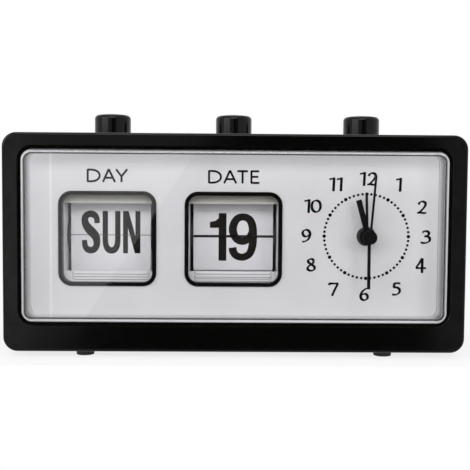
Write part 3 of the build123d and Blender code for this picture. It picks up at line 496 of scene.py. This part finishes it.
def laminate():
    # glass-fibre board under green lacquer: copper tracks show as paler lines, the weave as fine ribs
    mat, tree, place = startMaterial("greenLaminate")
    tracks = addNode(tree, "ShaderNodeTexBrick",
                     {"Vector": place, "Scale": perMm(board["trackGap"]), "Color1": board["lacquer"][0],
                      "Color2": board["lacquer"][1], "Mortar": board["track"],
                      "Mortar Size": board["trackWidth"]})
    weave = addNode(tree, "ShaderNodeTexWave", {"Vector": place, "Scale": perMm(board["weave"]) * waveTurn,
                                                "Distortion": board["weaveStray"]})
    bump = addNode(tree, "ShaderNodeBump", {"Strength": board["relief"], "Distance": board["depth"] * mm,
                                            "Height": weave.outputs["Fac"]})
    shader = addNode(tree, "ShaderNodeBsdfPrincipled",
                     {"Base Color": tracks.outputs["Color"], "Roughness": board["roughness"], "IOR": board["ior"],
                      "Normal": bump.outputs[0]})
    addNode(tree, "ShaderNodeOutputMaterial", {"Surface": shader.outputs[0]})
    return mat


winding = {
    # painted shade in the valleys between the turns
    "valleyShade": "#6b2a12",
    "wire": "#c8682f",
    "turn": 0.789,  # mm from one turn to the next, coarser than real wire of 0.1 so that it shows
    "stray": 0.3,
    "relief": 0.8,
    "depth": 0.1,  # mm
    "roughness": 0.28,
    "enamel": 0.5,
}


def copperWinding():
    # enamelled wire wound side by side: glossy copper rings, with painted shade in the valleys between them
    mat, tree, place = startMaterial("enamelledCopper")
    turns = addNode(tree, "ShaderNodeTexWave", {"Vector": place, "Scale": perMm(winding["turn"]) * waveTurn,
                                                "Distortion": winding["stray"]}, bands_direction="X")
    colour = addNode(tree, "ShaderNodeMix", {0: turns.outputs["Fac"], 6: winding["valleyShade"], 7: winding["wire"]},
                     data_type="RGBA")
    bump = addNode(tree, "ShaderNodeBump", {"Strength": winding["relief"], "Distance": winding["depth"] * mm,
                                            "Height": turns.outputs["Fac"]})
    shader = addNode(tree, "ShaderNodeBsdfPrincipled",
                     {"Base Color": colour.outputs[2], "Metallic": 1.0, "Roughness": winding["roughness"],
                      "Coat Weight": winding["enamel"], "Normal": bump.outputs[0]})
    addNode(tree, "ShaderNodeOutputMaterial", {"Surface": shader.outputs[0]})
    return mat


finishes = {
    "black_abs": solid["blackAbs"],
    "clear_acrylic": clearAcrylic(),
    "dial_white": solid["whiteStyrene"],
    "black_frame": solid["blackStyrene"],
    "leaf_film": leafFilm,
    "drum_plastic": solid["darkAcetal"],
    "hand_black": solid["blackHandLacquer"],
    "spring_steel": springSteel,
    "gear_acetal": solid["naturalAcetal"],
    "movement_plastic": solid["greyStyrene"],
    "circuit_green": laminate(),
    "copper_winding": copperWinding(),
    "nickel_strip": nickelStrip,
    "red_insulation": solid["redPvc"],
    "black_insulation": solid["blackPvc"],
    "foot_rubber": solid["blackFootRubber"],
}
ownFinish = {"dial_plate": dialSheet}
slotOf = {part["node"]: part["material_slot"] for part in frame["record"]["subparts"]}
for node, obj in cadNodes.items():
    finish = ownFinish.get(node, finishes[slotOf[node]])
    if not obj.data.materials:
        obj.data.materials.append(finish)
    for index in range(len(obj.material_slots)):
        obj.material_slots[index].material = finish
print("materials on", len(cadNodes), "nodes")

# return springs: copies of the leaf springs in their place, the originals hidden
for button in ("day_button", "date_button", "alarm_button"):
    source = cadNodes[f"{button}_spring"]
    springMesh = source.data.copy()
    springMesh.transform(source.matrix_world)
    spring = bpy.data.objects.new(f"{button}_return", springMesh)
    scene.collection.objects.link(spring)
    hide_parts(f"{button}_spring")
    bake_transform(spring)


# printing: pen strokes laid out flat in mm, joined into one thin layer of ink

def smoothLine(points, steps=7):
    # passes through every point, each with its own stroke width
    if len(points) < 3:
        return points
    line = []
    ring = [points[0]] + points + [points[-1]]
    for a, b, c, d in zip(ring, ring[1:], ring[2:], ring[3:]):
        for k in range(steps):
            t = k / steps
            line.append(tuple(
                0.5 * (2 * q + (r - p) * t + (2 * p - 5 * q + 4 * r - s) * t * t
                       + (3 * q - p - 3 * r + s) * t ** 3)
                for p, q, r, s in zip(a, b, c, d)))
    return line + [points[-1]]


def strokeQuads(line, nib=None):
    # line holds (x, y, width); a nib of (thick, thin, angle) sets the width from the direction instead
    edges = []
    for k, (x, y, width) in enumerate(line):
        before, after = line[max(k - 1, 0)], line[min(k + 1, len(line) - 1)]
        dx, dy = after[0] - before[0], after[1] - before[1]
        size = math.hypot(dx, dy) or 1.0
        if nib:
            thick, thin, angle = nib
            width = thin + (thick - thin) * abs(math.sin(math.atan2(dy, dx) - angle))
        nx, ny = -dy / size * width / 2, dx / size * width / 2
        edges.append(((x + nx, y + ny), (x - nx, y - ny)))
    return [[a, b, d, c] for (a, b), (c, d) in zip(edges, edges[1:])]


def discQuads(x, y, radius, sides=20):
    ring = [(x + radius * math.cos(2 * math.pi * k / sides), y + radius * math.sin(2 * math.pi * k / sides))
            for k in range(sides)]
    return [ring]


def cutAbove(polygon, level, keepAbove):
    # the part of a convex polygon above or below a level line
    sign = 1 if keepAbove else -1
    kept = []
    for (ax, ay), (bx, by) in zip(polygon, polygon[1:] + polygon[:1]):
        inA, inB = sign * (ay - level) >= 0, sign * (by - level) >= 0
        if inA:
            kept.append((ax, ay))
        if inA != inB:
            t = (level - ay) / (by - ay)
            kept.append((ax + t * (bx - ax), level))
    return kept if len(kept) > 2 else None


def signedArea(polygon):
    return sum(ax * by - bx * ay for (ax, ay), (bx, by) in zip(polygon, polygon[1:] + polygon[:1])) / 2


inkJoin = {"leastArea": 1e-7, "weld": 1e-5}  # mm2 and mm; anything smaller counts as nothing


def inkLayer(name, polygons, frontY, thickness, finish):
    # strokes in mm, joined flat at frontY (m) and raised by the ink's thickness (mm) towards the viewer
    points, faces = [], []
    for polygon in polygons:
        area = signedArea(polygon)
        if abs(area) < inkJoin["leastArea"]:
            continue
        if area < 0:
            polygon = polygon[::-1]
        faces.append(list(range(len(points), len(points) + len(polygon))))
        points += [Vector(p) for p in polygon]
    flat, _, triangles, _, _, origins = delaunay_2d_cdt(points, [], faces, 0, inkJoin["weld"])
    inside = [list(t) for t, source in zip(triangles, origins) if source]
    inside = [t if signedArea([flat[i][:] for i in t]) > 0 else t[::-1] for t in inside]
    used = sorted({i for t in inside for i in t})
    index = {old: new for new, old in enumerate(used)}
    count = len(used)
    back = frontY / mm
    verts = [Vector((flat[i][0], y, flat[i][1])) * mm for y in (back, back - thickness) for i in used]
    solidFaces, border = [], {}
    for t in inside:
        t = [index[i] for i in t]
        solidFaces.append([i + count for i in t])
        solidFaces.append(t[::-1])
        for a, b in zip(t, t[1:] + t[:1]):
            if border.pop((b, a), None) is None:
                border[(a, b)] = True
    solidFaces += [[a, b, b + count, a + count] for a, b in border]
    mesh = bpy.data.meshes.new(name)
    mesh.from_pydata(verts, [], solidFaces)
    mesh.materials.append(finish)
    piece = bpy.data.objects.new(name, mesh)
    scene.collection.objects.link(piece)
    return piece


# dial numerals, drawn as a broad pen would: height 1, centre line points of each stroke
penNumerals = {
    "0": [[(0.36, 0.97), (0.14, 0.82), (0.07, 0.5), (0.14, 0.18), (0.36, 0.03), (0.58, 0.18), (0.65, 0.5),
           (0.58, 0.82), (0.36, 0.97)]],
    "1": [[(-0.05, 0.9), (0.1, 0.925), (0.25, 0.97)], [(0.27, 1.05), (0.255, 0.5), (0.235, -0.06)]],
    "2": [[(0.06, 0.72), (0.12, 0.88), (0.29, 0.97), (0.47, 0.9), (0.52, 0.73), (0.43, 0.5), (0.25, 0.25),
           (0.03, 0.05)], [(-0.04, 0.05), (0.2, 0.07), (0.42, 0.04), (0.58, 0.06)]],
    "3": [[(0.06, 0.84), (0.2, 0.96), (0.4, 0.95), (0.51, 0.81), (0.43, 0.64), (0.2, 0.55)],
          [(0.2, 0.55), (0.44, 0.53), (0.57, 0.37), (0.53, 0.15), (0.32, 0.03), (0.12, 0.02), (-0.05, 0.06)]],
    "4": [[(0.42, 1.12), (0.24, 0.72), (0.02, 0.33)], [(0.0, 0.31), (0.69, 0.31)],
          [(0.43, 1.11), (0.43, 0.4), (0.42, -0.09)]],
    "5": [[(0.16, 0.94), (0.34, 0.96), (0.58, 0.94)], [(0.18, 0.95), (0.14, 0.58)],
          [(0.14, 0.58), (0.32, 0.62), (0.5, 0.5), (0.54, 0.3), (0.44, 0.11), (0.24, 0.02), (0.03, 0.05)]],
    "6": [[(0.5, 0.99), (0.3, 0.86), (0.13, 0.6), (0.08, 0.32), (0.17, 0.1), (0.34, 0.03), (0.51, 0.13),
           (0.55, 0.32), (0.46, 0.51), (0.3, 0.54), (0.1, 0.42)]],
    "7": [[(-0.02, 0.95), (0.3, 0.94), (0.59, 0.96)], [(0.0, 0.98), (-0.03, 0.8)],
          [(0.57, 0.95), (0.38, 0.52), (0.17, -0.06)]],
    "8": [[(0.5, 0.8), (0.42, 0.94), (0.28, 0.97), (0.14, 0.88), (0.14, 0.72), (0.3, 0.56), (0.48, 0.42),
           (0.56, 0.25), (0.47, 0.08), (0.3, 0.03), (0.12, 0.11), (0.09, 0.27), (0.22, 0.45), (0.42, 0.62),
           (0.5, 0.8)]],
    "9": [[(0.0, 0.02), (0.2, 0.05), (0.4, 0.2), (0.51, 0.46), (0.53, 0.7), (0.43, 0.91), (0.26, 0.98),
           (0.09, 0.88), (0.04, 0.68), (0.14, 0.48), (0.3, 0.45), (0.5, 0.58)]],
}
# sizes in mm
dialPrint = {
    "dotRadius": 16.78,  # ring of minute dots
    "minuteDot": 0.52,
    "hourDot": 0.72,
    "numeralHeight": 4.95,
    "numeralStretch": 1.2,  # broader than they are drawn above
    "nib": (1.12, 0.56, math.radians(24)),  # thick, thin, pen angle
    "gap": 1.05,  # between two figures
    "ink": 0.03,  # layer thickness
    "labelHeight": 5.1,
    "labelStretch": 1.04,
    "labelStroke": 0.82,
    "labelBase": {"day": 67.5, "date": 67.3},
}
# middles of the hour figures from the hub, mm
numeralPlaces = {
    1: (12.4, 20.6), 2: (21.9, 11.7), 3: (23.5, -0.1), 4: (22.0, -11.6), 5: (12.3, -20.9), 6: (-0.5, -23.2),
    7: (-12.7, -21.1), 8: (-21.8, -11.5), 9: (-24.0, 0.1), 10: (-21.6, 11.9), 11: (-12.6, 20.6),
    12: (0.4, 22.8),
}


def numeralQuads(text, midX, midY, height, nib):
    figures, width, broad = [], 0.0, height * dialPrint["numeralStretch"]
    for figure in text:
        strokes = penNumerals[figure]
        left = min(x for s in strokes for x, y in s)
        right = max(x for s in strokes for x, y in s)
        figures.append((strokes, width - left * broad))
        width += (right - left) * broad + dialPrint["gap"]
    width -= dialPrint["gap"]
    quads = []
    for strokes, offset in figures:
        for stroke in strokes:
            line = smoothLine([(midX - width / 2 + offset + x * broad, midY + (y - 0.5) * height, 0)
                               for x, y in stroke])
            quads += strokeQuads(line, nib)
    return quads


# thin capitals: (strokes, width), height 1, straight runs unless a stroke is a curve
labelLetters = {
    "D": ([("line", [(0.06, 0), (0.06, 1)]),
           ("curve", [(0.06, 0.95), (0.32, 0.95), (0.62, 0.9), (0.87, 0.73), (0.94, 0.5), (0.87, 0.27),
                      (0.62, 0.1), (0.32, 0.05), (0.06, 0.05)])], 1.0),
    "A": ([("line", [(0.03, 0), (0.46, 1)]), ("line", [(0.46, 1), (0.93, 0)]),
           ("line", [(0.18, 0.33), (0.78, 0.33)])], 0.97),
    "Y": ([("line", [(0.03, 1), (0.44, 0.45)]), ("line", [(0.87, 1), (0.44, 0.45)]),
           ("line", [(0.44, 0.48), (0.44, 0)])], 0.9),
    "T": ([("line", [(0.0, 0.95), (0.8, 0.95)]), ("line", [(0.4, 0.95), (0.4, 0)])], 0.8),
    "E": ([("line", [(0.06, 0), (0.06, 1)]), ("line", [(0.06, 0.95), (0.64, 0.95)]),
           ("line", [(0.06, 0.52), (0.58, 0.52)]), ("line", [(0.06, 0.05), (0.66, 0.05)])], 0.66),
}
labelGaps = {"DA": 0.16, "AY": 0.0, "AT": 0.03, "TE": 0.2}


def labelQuads(text, midX, baseZ, height, stroke):
    offsets, width, broad = [], 0.0, height * dialPrint["labelStretch"]
    for k, letter in enumerate(text):
        if k:
            width += labelGaps[text[k - 1:k + 1]]
        offsets.append(width)
        width += labelLetters[letter][1]
    quads = []
    for letter, offset in zip(text, offsets):
        for kind, points in labelLetters[letter][0]:
            line = [(midX + (offset + x - width / 2) * broad, baseZ + y * height, stroke) for x, y in points]
            quads += strokeQuads(smoothLine(line) if kind == "curve" else line)
    return quads


def middle(node):
    low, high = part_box(node)
    return (low + high) / 2


wheelLow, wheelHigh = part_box("alarm_wheel")
hubX, hubZ = [(wheelLow[i] + wheelHigh[i]) / 2 / mm for i in (0, 2)]
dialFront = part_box("dial_plate")[0].y
dayX, dateX = middle("day_window_frame").x / mm, middle("date_window_frame").x / mm
dialShapes = []
for minute in range(60):
    angle = math.radians(90 - 6 * minute)
    radius = dialPrint["hourDot"] if minute % 5 == 0 else dialPrint["minuteDot"]
    dialShapes += discQuads(hubX + dialPrint["dotRadius"] * math.cos(angle),
                            hubZ + dialPrint["dotRadius"] * math.sin(angle), radius)
for hour, (x, z) in numeralPlaces.items():
    dialShapes += numeralQuads(str(hour), hubX + x, hubZ + z, dialPrint["numeralHeight"], dialPrint["nib"])
for word, x in (("DAY", dayX), ("DATE", dateX)):
    dialShapes += labelQuads(word, x, dialPrint["labelBase"][word.lower()], dialPrint["labelHeight"],
                             dialPrint["labelStroke"])
dialInk = inkLayer("dial_print", dialShapes, dialFront, dialPrint["ink"], solid["blackScreenInk"])
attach(dialInk, "case")
print("dial printed:", len(dialInk.data.polygons), "faces")

# leaf lettering, heavy capitals and figures in units of their height: (kind, points with widths), width
heavyLetters = {
    "S": ([("curve", [(0.355, 0.71, 0.112), (0.342, 0.83, 0.122), (0.283, 0.905, 0.138), (0.2, 0.93, 0.14),
                      (0.12, 0.905, 0.138), (0.068, 0.83, 0.138), (0.078, 0.71, 0.152), (0.138, 0.6, 0.178),
                      (0.232, 0.5, 0.188), (0.315, 0.4, 0.176), (0.345, 0.28, 0.144), (0.335, 0.17, 0.135),
                      (0.283, 0.094, 0.138), (0.2, 0.07, 0.14), (0.12, 0.094, 0.134), (0.067, 0.18, 0.116),
                      (0.055, 0.31, 0.108)])], 0.415),
    "U": ([("curve", [(0.056, 1.0, 0.112), (0.056, 0.6, 0.112), (0.057, 0.3, 0.114), (0.08, 0.165, 0.122),
                      (0.133, 0.088, 0.134), (0.203, 0.066, 0.136), (0.273, 0.088, 0.134), (0.326, 0.165, 0.122),
                      (0.349, 0.3, 0.114), (0.35, 0.6, 0.112), (0.35, 1.0, 0.112)])], 0.406),
    "N": ([("line", [(0.052, 0, 0.104), (0.052, 1, 0.104)]), ("line", [(0.344, 0, 0.104), (0.344, 1, 0.104)]),
           ("shape", [(0.0, 1.0), (0.124, 1.0), (0.396, 0.0), (0.272, 0.0)])], 0.396),
    "M": ([("line", [(0.052, 0, 0.104), (0.052, 1, 0.104)]), ("line", [(0.448, 0, 0.104), (0.448, 1, 0.104)]),
           ("shape", [(0.0, 1.0), (0.134, 1.0), (0.302, 0.12), (0.198, 0.12)]),
           ("shape", [(0.366, 1.0), (0.5, 1.0), (0.302, 0.12), (0.198, 0.12)])], 0.5),
    "O": ([("curve", [(0.205, 0.936, 0.13), (0.115, 0.9, 0.128), (0.064, 0.78, 0.12), (0.057, 0.5, 0.114),
                      (0.064, 0.22, 0.12), (0.115, 0.1, 0.128), (0.205, 0.064, 0.13), (0.295, 0.1, 0.128),
                      (0.346, 0.22, 0.12), (0.353, 0.5, 0.114), (0.346, 0.78, 0.12), (0.295, 0.9, 0.128),
                      (0.205, 0.936, 0.13)])], 0.41),
    "1": ([("line", [(0.277, 0.0, 0.163), (0.277, 1.0, 0.163)]),
           ("shape", [(0.01, 0.69), (0.2, 0.69), (0.2, 0.9), (0.12, 0.835), (0.01, 0.816)]),
           ("shape", [(0.2, 0.69), (0.24, 0.69), (0.24, 1.0), (0.23, 0.96), (0.2, 0.9)])], 0.36),
    "9": ([("curve", [(0.083, 0.28, 0.165), (0.1, 0.19, 0.163), (0.165, 0.11, 0.155), (0.295, 0.076, 0.15),
                      (0.43, 0.14, 0.155), (0.495, 0.29, 0.165), (0.512, 0.5, 0.17), (0.5, 0.72, 0.17),
                      (0.435, 0.87, 0.16), (0.297, 0.923, 0.15), (0.16, 0.865, 0.16), (0.087, 0.675, 0.17),
                      (0.15, 0.48, 0.16), (0.285, 0.41, 0.15), (0.42, 0.47, 0.15), (0.5, 0.62, 0.15)])], 0.597),
    "2": ([("curve", [(0.085, 0.68, 0.16), (0.1, 0.82, 0.16), (0.18, 0.905, 0.152), (0.29, 0.925, 0.15),
                      (0.42, 0.89, 0.155), (0.49, 0.77, 0.165), (0.47, 0.63, 0.165), (0.37, 0.47, 0.165),
                      (0.22, 0.3, 0.165), (0.12, 0.15, 0.165), (0.09, 0.05, 0.165)]),
           ("line", [(0.01, 0.075, 0.15), (0.57, 0.075, 0.15)])], 0.58),
    "0": ([("curve", [(0.297, 0.925, 0.15), (0.16, 0.87, 0.158), (0.095, 0.7, 0.168), (0.085, 0.5, 0.17),
                      (0.095, 0.3, 0.168), (0.16, 0.13, 0.158), (0.297, 0.075, 0.15), (0.434, 0.13, 0.158),
                      (0.5, 0.3, 0.168), (0.51, 0.5, 0.17), (0.5, 0.7, 0.168), (0.434, 0.87, 0.158),
                      (0.297, 0.925, 0.15)])], 0.594),
}
# lettering of the leaves: height, foot, bare split at the fold and painted gap shadow below the cut edge in mm,
# gap in units of the height
leafPrint = {
    "day": {"now": "SUN", "next": "MON", "height": 17.3, "low": 38.5, "gap": 0.075, "split": 0.26, "count": 14,
            "shift": 0.05, "weight": 1.12, "edge": 0.0},
    "date": {"now": "19", "next": "20", "height": 19.5, "low": 35.7, "gap": 0.045, "split": 0.5, "count": 31,
             "shift": 0.0, "weight": 1.0, "edge": 0.5},
    "edgeDrop": 0.26,  # mm from the fold down to the cut edge
    "edgeInset": 0.1,
    "ink": 0.02,
    "pivotRadius": 6.0,  # mm from the axle to the edge a leaf falls about
    "bodies": {("now", "upper"): "flip_leaf", ("now", "lower"): "drum", ("next", "upper"): "drum",
               ("next", "lower"): "flip_leaf"},
}
# edges of the leaves that hang further down, drawn as fine grey lines over the sill, partly their cut edges and
# partly painted shade, in mm below its top
leafEdges = {
    "day": (1.3, 2.4, 3.5),
    "date": (1.1, 2.3, 3.0, 3.9),
    "sillTop": 32.0,
    "width": 0.2,
    "corner": 1.0,
    "cornerSteps": (0, 30, 60, 90),  # degrees
    "margin": 1.5,
    "ink": 0.03,
}


def heavyQuads(text, midX, baseZ, height, gap, weight):
    width = sum(heavyLetters[c][1] for c in text) + gap * (len(text) - 1)
    quads, offset = [], -width / 2
    for letter in text:
        strokes, advance = heavyLetters[letter]
        for kind, points in strokes:
            if kind == "shape":
                quads.append([(midX + (offset + x) * height, baseZ + y * height) for x, y in points])
                continue
            line = [(midX + (offset + x) * height, baseZ + y * height, w * height * weight)
                    for x, y, w in points]
            quads += strokeQuads(smoothLine(line) if kind == "curve" else line)
        offset += advance + gap
    return quads


def turnAbout(y, z, degrees):
    # a turn about an X axis through this place in the YZ plane
    return (Matrix.Translation((0, y, z)) @ Matrix.Rotation(math.radians(degrees), 4, "X")
            @ Matrix.Translation((0, -y, -z)))


for counter in ("day", "date"):
    words = leafPrint[counter]
    leafLow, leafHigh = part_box(f"{counter}_flip_leaf")
    leafFront, leafLeft, leafRight = leafLow.y, leafLow.x / mm, leafHigh.x / mm
    leafX = (leafLow.x + leafHigh.x) / 2 / mm + words["shift"]
    axis = middle(f"{counter}_axle")
    step = 360 / words["count"]
    splitZ = axis.z / mm
    inks = {}
    for state in ("now", "next"):
        shapes = heavyQuads(words[state], leafX, words["low"], words["height"], words["gap"], words["weight"])
        for part, sign in (("upper", 1), ("lower", -1)):
            cut = [cutAbove(s, splitZ + sign * words["split"] / 2, sign > 0) for s in shapes]
            if part == "lower" and words["edge"]:
                # painted shadow: a dark strip printed below the cut upper edge stands for the shaded gap against
                # the next leaf
                shadeTop = splitZ - leafPrint["edgeDrop"]
                shadeFoot = shadeTop - words["edge"]
                start, end = leafLeft + leafPrint["edgeInset"], leafRight - leafPrint["edgeInset"]
                cut.append([(start, shadeFoot), (end, shadeFoot), (end, shadeTop), (start, shadeTop)])
            inks[state, part] = inkLayer(f"{counter}_{state}_{part}", [c for c in cut if c], leafFront,
                                         leafPrint["ink"], solid["blackFilmInk"])
    # the next day waits on the leaf behind and on the back of the leaf that falls
    waiting = turnAbout(axis.y, axis.z, -step)
    pivotY = axis.y - leafPrint["pivotRadius"] * mm * math.cos(math.radians(step / 2))
    pivotZ = axis.z + leafPrint["pivotRadius"] * mm * math.sin(math.radians(step / 2))
    inks["next", "upper"].data.transform(waiting)
    inks["next", "lower"].data.transform(turnAbout(pivotY, pivotZ, step - 180) @ waiting)
    for key, ink in inks.items():
        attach(ink, f"{counter}_{leafPrint['bodies'][key]}")
    # as wide on the sill as the leaves behind it look from the front
    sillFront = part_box(f"{counter}_carrier")[0].y
    eyeX, eyeY, _ = cameraSetup["place"]
    nearer = (sillFront / mm - eyeY) / (leafFront / mm - eyeY)
    left = eyeX + (leafLeft + leafEdges["margin"] - eyeX) * nearer
    right = eyeX + (leafRight - leafEdges["margin"] - eyeX) * nearer
    bend = leafEdges["corner"]
    corner = [(bend * (1 - math.cos(math.radians(a))), bend * (1 - math.sin(math.radians(a))))
              for a in leafEdges["cornerSteps"]]
    edgeShapes = []
    for drop in leafEdges[counter]:
        foot = leafEdges["sillTop"] - drop
        outline = ([(left + x, foot + rise) for x, rise in corner]
                   + [(right - x, foot + rise) for x, rise in reversed(corner)])
        edgeShapes += strokeQuads([(x, z, leafEdges["width"]) for x, z in outline])
    edges = inkLayer(f"{counter}_leaf_edges", edgeShapes, sillFront, leafEdges["ink"], solid["cutEdgeAndShade"])
    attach(edges, "case")
    print(counter, "leaves printed", words["now"], "then", words["next"])
